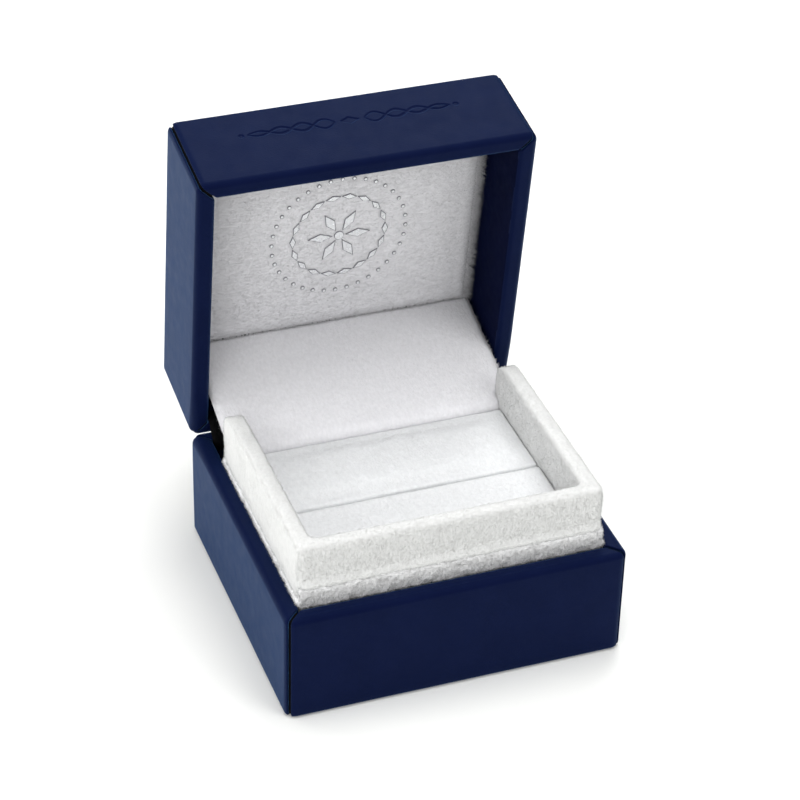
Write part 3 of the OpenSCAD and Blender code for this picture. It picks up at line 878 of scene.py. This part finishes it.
def seat(name, node, seed):
    """Ring cushion: foam under plush, blown up a little by cloth; it fills the tray's width."""
    low, high = box(node)
    low[0], high[0] = -TRAY_W + 0.03, TRAY_W - 0.03
    o = remeshed(name, [(low + 0.1, high - (0.1, 0.1, 0.25))], 0.6, 1)
    puffed(o, PUFF, lambda p: p[:, 2] < low[2] + 3)
    to_size(o)
    subdivided(o)
    co = np.clip(points_of(o.data) / MM, low + 0.01, high + (-0.01, -0.01, 0.12))
    move_points(o.data, co * MM)
    roughened(o, ((3.0, 0.05), (0.9, 0.03)), seed)
    finished(o, "base", "plush", PLUSH_FLAT, node)
    top = high[2] - 1.5
    tufts = pile(f"{name}_pile", o, 9, 0.26, 0.06, (0.2, 0.5, 0), lambda p, n: p[:, 2] > top, seed + 1)
    finished(tufts, "base", "plush", PLUSH_FLAT)


def lining():
    """Padded ceiling of the lid, its face towards the viewer when the lid stands open."""
    low, high = PAD_LOW.copy(), PAD_HIGH.copy()
    inset = np.array([0.3, 0.3, 0.25])
    o = remeshed("lid_lining", [(low + inset, high + (-inset[0], 0.35, 0))], 0.8, 2)
    puffed(o, PUFF, lambda p: p[:, 2] > high[2] - 0.3)
    to_size(o)
    subdivided(o)
    co = points_of(o.data) / MM
    under = co[:, 2] < (low[2] + high[2]) / 2
    edge = np.minimum(high[0] - abs(co[:, 0]), np.minimum(co[:, 1] - low[1], high[1] - co[:, 1]))
    flat = np.clip((edge - 1.2) / 2.5, 0, 1)[under]
    co[under, 2] += flat * (PAD_FACE + 0.1 - co[under, 2])
    co = np.clip(co, low + (0.02, 0.02, -0.02), high + (0, 0.35, 0))
    move_points(o.data, co * MM)
    roughened(o, ((3.5, 0.04), (1.0, 0.025)), 71)
    move_points(o.data, opened(points_of(o.data) / MM) * MM)
    finished(o, "lid", "plush", PLUSH_LID, "ceiling_pad")
    across = opened(AXIS + np.array([(0, 0, 0), (0, 0, -1)]))
    face_way = across[1] - across[0]

    def shown(p, n):
        return n @ face_way > 0.2

    def swept(p, n):
        high_up = np.clip((p[:, 2] - 45) / 18, 0, 1)
        sideways = 0.9 * high_up * np.sign(p[:, 0]) + 0.4 * noise_at(p, 6, 74)
        return np.stack([sideways, 0 * sideways, -0.5 + 0.4 * high_up], 1)

    tufts = pile("lid_lining_pile", o, 19, 0.34, 0.055, swept, shown, 72, bare=on_foil)
    finished(tufts, "lid", "plush", PLUSH_LID)

    def border(p, n):
        return shown(p, n) & (abs(p[:, 0]) > high[0] - 1.3)

    def outwards(p, n):
        return np.stack([np.sign(p[:, 0]) * 0.7, -0.8 + 0 * p[:, 0], -0.4 + 0 * p[:, 0]], 1)

    def foot(p, n):
        return shown(p, n) & (turned(p, OPEN)[:, 1] > high[1] - 0.9)

    for name, count, length, lean, where in (
            ("lid_lining_fringe", 64, 1.8, outwards, border),
            ("lid_lining_foot", 30, 0.7, (0, -0.3, -1.6), foot)):
        tufts = pile(name, o, count, length, 0.06, lean, where, 73, 0.45,
                     squeeze=beside_wall, facing=face_way)
        finished(tufts, "lid", "plush", PLUSH_LID)


def foil_outlines():
    """Outlines of the foil's shapes on the shut lid's ceiling, as (x, y) points in mm."""
    bm = bmesh.new()
    bm.from_mesh(frame["nodes"]["foil_motif"].data)
    bmesh.ops.remove_doubles(bm, verts=bm.verts, dist=1e-6)
    bm.verts.index_update()
    co = turned([v.co / MM for v in bm.verts], OPEN)
    face = co[:, 2].min() + 0.02
    shown = {f for f in bm.faces if all(co[v.index, 2] < face for v in f.verts)}
    after = {}
    for f in shown:
        for loop in f.loops:
            if sum(other in shown for other in loop.edge.link_faces) == 1:
                after[loop.vert.index] = loop.link_loop_next.vert.index
    outlines = []
    while after:
        first, at = after.popitem()
        ring = [first]
        while at != first:
            ring.append(at)
            at = after.pop(at)
        outlines.append(co[ring, :2])
    bm.free()
    return outlines


def grown(outline, by):
    """An outline moved outwards by a distance in mm, with its sharp tips kept short."""
    back, on = outline - np.roll(outline, 1, axis=0), np.roll(outline, -1, axis=0) - outline
    x, y = outline.T
    side = np.sign((x * np.roll(y, -1) - y * np.roll(x, -1)).sum())
    normals = [np.stack([e[:, 1], -e[:, 0]], 1) / np.linalg.norm(e, axis=1, keepdims=True)
               for e in (back, on)]
    way = normals[0] + normals[1]
    length = np.maximum(np.linalg.norm(way, axis=1, keepdims=True), 0.7)
    return outline + side * by * 2 * way / length ** 2


FOIL_BARE = 0.12               # width without tufts round each shape of the foil
FOIL_SHADOW_BAND = (-0.04, 0.11)   # painted shadow band, from each shape's outline outwards
FOIL_SHADOW_RISE = (-0.09, 0.05)   # and from the lining's face
FOIL = foil_outlines()
FOIL_GROWN = [grown(outline, FOIL_BARE) for outline in FOIL]


def on_foil(points):
    """Which of the points, in mm, lie on the foil or close beside it."""
    x, y = turned(points, OPEN)[:, :2].T
    covered = np.zeros(len(x), bool)
    for outline in FOIL_GROWN:
        low, high = outline.min(0), outline.max(0)
        near = np.nonzero((x > low[0]) & (x < high[0]) & (y > low[1]) & (y < high[1]))[0]
        a, b = outline, np.roll(outline, -1, axis=0)
        px, py = x[near, None], y[near, None]
        spans = (a[:, 1] > py) != (b[:, 1] > py)
        cross_x = a[:, 0] + (py - a[:, 1]) * (b[:, 0] - a[:, 0]) / (b[:, 1] - a[:, 1] + 1e-12)
        covered[near] |= (spans & (px < cross_x)).sum(1) % 2 == 1
    return covered


def painted_edge_shadows():
    """Dark bands round each shape of the foil, as thin closed bands: painted shadow where the higher
    pile around the foil shades its edges.
    """
    points, faces = [], []
    for outline in FOIL:
        n, start = len(outline), len(points)
        for by in FOIL_SHADOW_BAND:
            for rise in FOIL_SHADOW_RISE:
                points += [(x, y, PAD_FACE + rise) for x, y in grown(outline, by)]
        for i in range(n):
            j = (i + 1) % n
            for a, b in ((0, n), (n, 3 * n), (3 * n, 2 * n), (2 * n, 0)):
                faces.append([start + k for k in (a + i, a + j, b + j, b + i)])
    o = make_mesh("foil_edge_shadows", opened(points), faces)
    finished(o, "lid", "plush", FOIL_SHADOW_PLUSH)


FLAP_T = 1.1
FLAP_BEND_R = 1.6
FLAP_BEND_RISE = 1.75          # middle of its bend above the rim
FLAP_SLOPE = math.radians(17)
FLAP_FOOT_W = 47.6


def flap():
    """Apron of plush from behind the rear cushion, over the hinge, to the lid's lining."""
    low, high = box("hinge_flap")
    foot_y = low[1] + 0.6
    bend_y, bend_z = foot_y + FLAP_BEND_R, BASE_H + FLAP_BEND_RISE
    line = [(foot_y, z) for z in np.linspace(low[2], bend_z, 24)[:-1]]
    line += [(bend_y - FLAP_BEND_R * math.cos(a), bend_z + FLAP_BEND_R * math.sin(a))
             for a in np.linspace(0, math.pi / 2 - FLAP_SLOPE, 9)]
    y, z = line[-1]
    reach = (high[1] + 0.9 - y) / math.cos(FLAP_SLOPE)
    line += [(y + t * math.cos(FLAP_SLOPE), z + t * math.sin(FLAP_SLOPE))
             for t in np.linspace(0, reach, 42)[1:]]
    line = np.array(line)
    step = np.gradient(line, axis=0)
    step /= np.linalg.norm(step, axis=1, keepdims=True)
    normal = np.stack([-step[:, 1], step[:, 0]], 1)
    half_foot, half_wide = FLAP_FOOT_W / 2, high[0]
    wide = np.clip((line[:, 0] - COLLAR_HIGH[1] + 0.4) / 0.5, 0, 1)
    half = half_foot + (half_wide - half_foot) * wide
    across = np.linspace(-1, 1, 70)
    rim = np.sqrt(np.clip(1 - np.clip(1 - (1 - abs(across)) * 26 / (FLAP_T / 2), 0, 1) ** 2, 0.02, 1))
    sheets = []
    for side in (1, -1):
        x = across[None, :] * half[:, None]
        off = side * FLAP_T / 2 * normal[:, None, :] * rim[None, :, None]
        y, z = (line[:, None, :] + off).transpose(2, 0, 1)
        sheets.append(np.stack([x, y, z], 2).reshape(-1, 3))
    points = np.concatenate(sheets)
    sag = 0.10 * noise_at(points, 7, 61) + 0.05 * noise_at(points * (0.5, 1, 1), 2.5, 62)
    way = np.concatenate([np.repeat(normal, len(across), axis=0)] * 2)
    points[:, 1:] += way * sag[:, None]
    o = make_mesh("hinge_apron", points, sheet_faces(len(line), len(across)))

    def shown(p, n):
        return (p[:, 2] > box("seat_rear_cover")[1][2] - 0.5) & ((n[:, 2] > 0.3) | (n[:, 1] < -0.3))

    tufts = pile("hinge_apron_pile", o, 8, 0.24, 0.055, (0, 0.2, -0.6), shown, 63)

    def sides(p, n):
        return shown(p, n) & (abs(p[:, 0]) > half_wide - 0.5)

    fringe = pile("hinge_apron_fringe", o, 30, 0.6, 0.06, (0, -0.3, -0.3), sides, 64,
                  squeeze=beside_wall)
    for piece in (o, tufts, fringe):
        finished(piece, None, "plush", PLUSH_FLAP, *(["hinge_flap"] if piece is o else []))
        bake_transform(piece)


def shadow_strips_at_hinge():
    """Black tape behind the apron, from the base's back wall to the lid's, beside the hinge: it blocks
    the light through the gap, and its black stands in for the shadow there, painted shadow.
    """
    gap, thick, reach, start = 0.08, 0.15, 2.5, 0.1
    y = INNER_D - gap
    line = np.array([(y, BASE_H - reach), (y, BASE_H - start)])
    far = opened([(0, y, LID_RIM + start), (0, y, LID_RIM + reach)])[:, 1:]
    line = np.concatenate([line, (line[1] + far[0]) / 2 + [(0.15, -0.15)], far])
    step = np.gradient(line, axis=0)
    normal = np.stack([-step[:, 1], step[:, 0]], 1) / np.linalg.norm(step, axis=1, keepdims=True)
    points, faces, columns = [], [], 8
    for x0, x1 in ((-INNER_W + 0.05, -NOTCH_W / 2), (NOTCH_W / 2, INNER_W - 0.05)):
        first = len(points)
        for x in np.linspace(x0, x1, columns + 1):
            for side in (0, thick):
                points += [(x, y, z) for y, z in line + side * normal]
        rows = 2 * len(line)
        loop = [*range(len(line)), *reversed(range(len(line), rows))]
        for i in range(columns):
            for a, b in zip(loop, loop[1:] + loop[:1]):
                k = first + i * rows
                faces.append((k + a, k + b, k + b + rows, k + a + rows))
        faces += [[first + a for a in reversed(loop)], [first + columns * rows + a for a in loop]]
    o = make_mesh("hinge_gap_shadow", points, faces)
    finished(o, None, "board", BOARD)
    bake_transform(o)


def blade():
    """The hinge's spring as in the CAD, bent across the hinge."""
    mesh = frame["nodes"]["hinge_spring"].data
    o = make_mesh("hinge_blade", points_of(mesh) / MM, [tuple(p.vertices) for p in mesh.polygons])
    o.data.shade_flat()
    finished(o, None, "steel", STEEL, "hinge_spring")
    low, high = box("hinge_spring")
    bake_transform(o)


# ---- CAD nodes that stay ----

def dress(material, slot, *nodes):
    for name in nodes:
        o = frame["nodes"][name]
        o.data.materials.clear()
        o.data.materials.append(material)


leatherette_half("base", "base", BASE_H, BASE_TURN_IN, as_base, "base_bottom_wrap")
lid_floor = SHUT_H - shut_box("ceiling_board")[1][2]
leatherette_half("lid", "lid", LID_H, LID_H - lid_floor, as_lid, "lid_top_wrap")
collar()
roll()
seat("seat_front_cushion", "seat_front_cover", 81)
seat("seat_rear_cushion", "seat_rear_cover", 91)
lining()
flap()
shadow_strips_at_hinge()
blade()
dress(BOARD, "board", "base_shell", "lid_shell", "collar_board", "seat_board", "ceiling_board")
dress(FOAM, "foam", "seat_front_foam", "seat_rear_foam")
dress(STEEL, "steel", "hinge_base_leaf", "hinge_base_rivets", "hinge_pin",
      "hinge_lid_leaf", "hinge_lid_rivets")
dress(FOIL_METAL, "foil", "foil_motif")
painted_edge_shadows()


# ---- Studio ----

def studio_floor():
    n = Nodes("studio_floor")
    n.set(Specular_IOR_Level=0.1)
    colour = n.ramp(n.noise(80, 2), (0.94, 0.945, 0.925), (0.95, 0.955, 0.935))
    half = 3000
    points = [(-half, -half, 0), (half, -half, 0), (half, half, 0), (-half, half, 0)]
    o = make_mesh("studio_floor", points, [(0, 1, 2, 3)])
    o.data.materials.append(n.finish(colour, n.number(n.noise(60), 0.6, 0.7)))


def area_light(name, place, size, power):
    """Square light at place, in mm, facing the box."""
    target = (0, 10, 25)
    light = bpy.data.lights.new(name, "AREA")
    light.size, light.energy = size * MM, power
    o = bpy.data.objects.new(name, light)
    o.location = Vector(place) * MM
    o.rotation_euler = (Vector(target) - Vector(place)).to_track_quat("-Z", "Y").to_euler()
    bpy.context.scene.collection.objects.link(o)


def world():
    w = bpy.data.worlds.new("studio")
    w.use_nodes = True
    w.node_tree.nodes["Background"].inputs["Color"].default_value = (1, 1, 0.99, 1)
    w.node_tree.nodes["Background"].inputs["Strength"].default_value = 0.17
    bpy.context.scene.world = w


def camera():
    """Long lens from the front left, above the box, turned a little about its own axis."""
    azimuth, elevation, roll_angle = (math.radians(a) for a in (20.59, 34.66, 1.58))
    target, distance = Vector((-9.5, -22.3, 56.2)), 432
    look = Vector((math.sin(azimuth) * math.cos(elevation), math.cos(azimuth) * math.cos(elevation),
                   -math.sin(elevation)))
    right = Vector((math.cos(azimuth), -math.sin(azimuth), 0))
    up = right.cross(look)
    c, s = math.cos(roll_angle), math.sin(roll_angle)
    right, up = c * right + s * up, c * up - s * right
    data = bpy.data.cameras.new("camera")
    data.lens, data.sensor_width = 123.9, 36
    o = bpy.data.objects.new("camera", data)
    turn = Matrix((right, up, -look)).transposed().to_4x4()
    o.matrix_world = Matrix.Translation((target - look * distance) * MM) @ turn
    bpy.context.scene.collection.objects.link(o)
    bpy.context.scene.camera = o


studio_floor()
world()
for light in (
        ("top", (0, 0, 900), 700, 5.2),
        ("back", (235, 475, 635), 420, 2.6),
        ("left", (-850, 60, 330), 500, 2.7),
        ("left_back", (-620, 620, 260), 400, 1.4),
        ("front_left", (-420, -640, 420), 450, 2.4),
        ("front_right", (420, -600, 650), 500, 2.4)):
    area_light(*light)
camera()
bpy.context.scene.view_settings.view_transform = "Standard"
